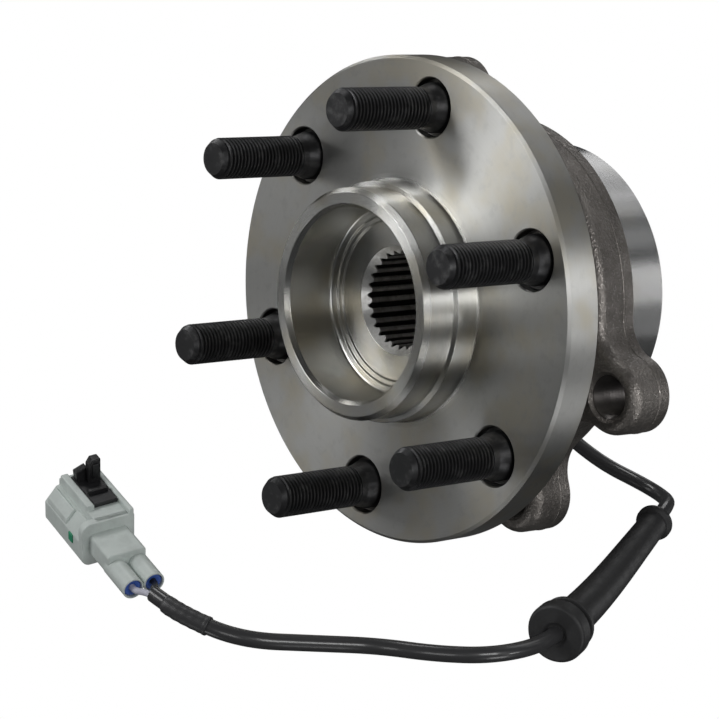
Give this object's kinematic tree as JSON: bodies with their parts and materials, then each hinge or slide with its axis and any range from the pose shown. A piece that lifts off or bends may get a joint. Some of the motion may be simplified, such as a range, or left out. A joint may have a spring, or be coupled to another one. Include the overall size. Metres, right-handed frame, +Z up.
{
  "type": "wheel hub bearing",
  "caption": "Driven wheel hub bearing: studded wheel flange on a splined spindle, two ball rows, four-eared outer ring, wheel speed sensor with its cable, grommet and connector.",
  "frame": {"origin": "centre of the outer ring's knuckle mounting face, on the axle's axis", "axes": "-Y outboard along the axle, towards the wheel; +Y inboard, along the spigot; +Z up as the part is shown; +X to the right seen from outboard"},
  "size_m": [0.1717, 0.1898, 0.14],
  "materials": {
    "turned_steel": "turned",
    "black_oxide_steel": "black oxide",
    "bearing_steel": "ground",
    "forged_steel": "forged, turned at the spigot",
    "ball_steel": "polished",
    "cage_polyamide": "moulded",
    "pressed_sheet": "pressed",
    "seal_rubber": "moulded",
    "encoder_rubber": "moulded",
    "black_plastic": "moulded",
    "cable_jacket": "satin",
    "grommet_rubber": "matt",
    "shrink_sleeve": "satin",
    "white_insulation": "satin",
    "black_insulation": "satin",
    "blue_silicone": "moulded",
    "grey_plastic": "moulded",
    "tinned_brass": "tinned",
    "green_plastic": "moulded"
  },
  "bodies": {
    "ring": {"outer_ring": "forged_steel", "knuckle_plate": "forged_steel", "outboard_seal_case": "pressed_sheet", "outboard_seal_lip": "seal_rubber", "inboard_seal_case": "pressed_sheet", "inboard_seal_lip": "seal_rubber", "sensor_carrier": "pressed_sheet", "sensor_head": "black_plastic", "sensor_cable": "cable_jacket", "cable_grommet": "grommet_rubber", "heat_shrink_sleeve": "shrink_sleeve", "wire_white": "white_insulation", "wire_black": "black_insulation", "wire_seals": "blue_silicone", "connector_housing": "grey_plastic", "connector_terminals": "tinned_brass", "terminal_retainer": "green_plastic", "rail_clip": "black_plastic"},
    "hub": {"hub_flange": "turned_steel", "wheel_studs": "black_oxide_steel", "inner_ring": "bearing_steel", "slinger": "pressed_sheet", "encoder_ring": "encoder_rubber"},
    "outboard_row": {"balls_outboard": "ball_steel", "cage_outboard": "cage_polyamide"},
    "inboard_row": {"balls_inboard": "ball_steel", "cage_inboard": "cage_polyamide"}
  },
  "joints": [
    {"name": "hub_spin", "type": "hinge", "parent": "ring", "child": "hub", "pos_m": [0, 0, 0], "axis": [0, 1, 0], "continuous": true},
    {"name": "outboard_row_spin", "type": "hinge", "parent": "ring", "child": "outboard_row", "pos_m": [0, -0.017, 0], "axis": [0, 1, 0], "continuous": true},
    {"name": "inboard_row_spin", "type": "hinge", "parent": "ring", "child": "inboard_row", "pos_m": [0, 0.007, 0], "axis": [0, 1, 0], "continuous": true}
  ],
  "couplings": [
    {"joint": "outboard_row_spin", "follows": "hub_spin", "ratio": 0.42},
    {"joint": "inboard_row_spin", "follows": "hub_spin", "ratio": 0.42}
  ]
}
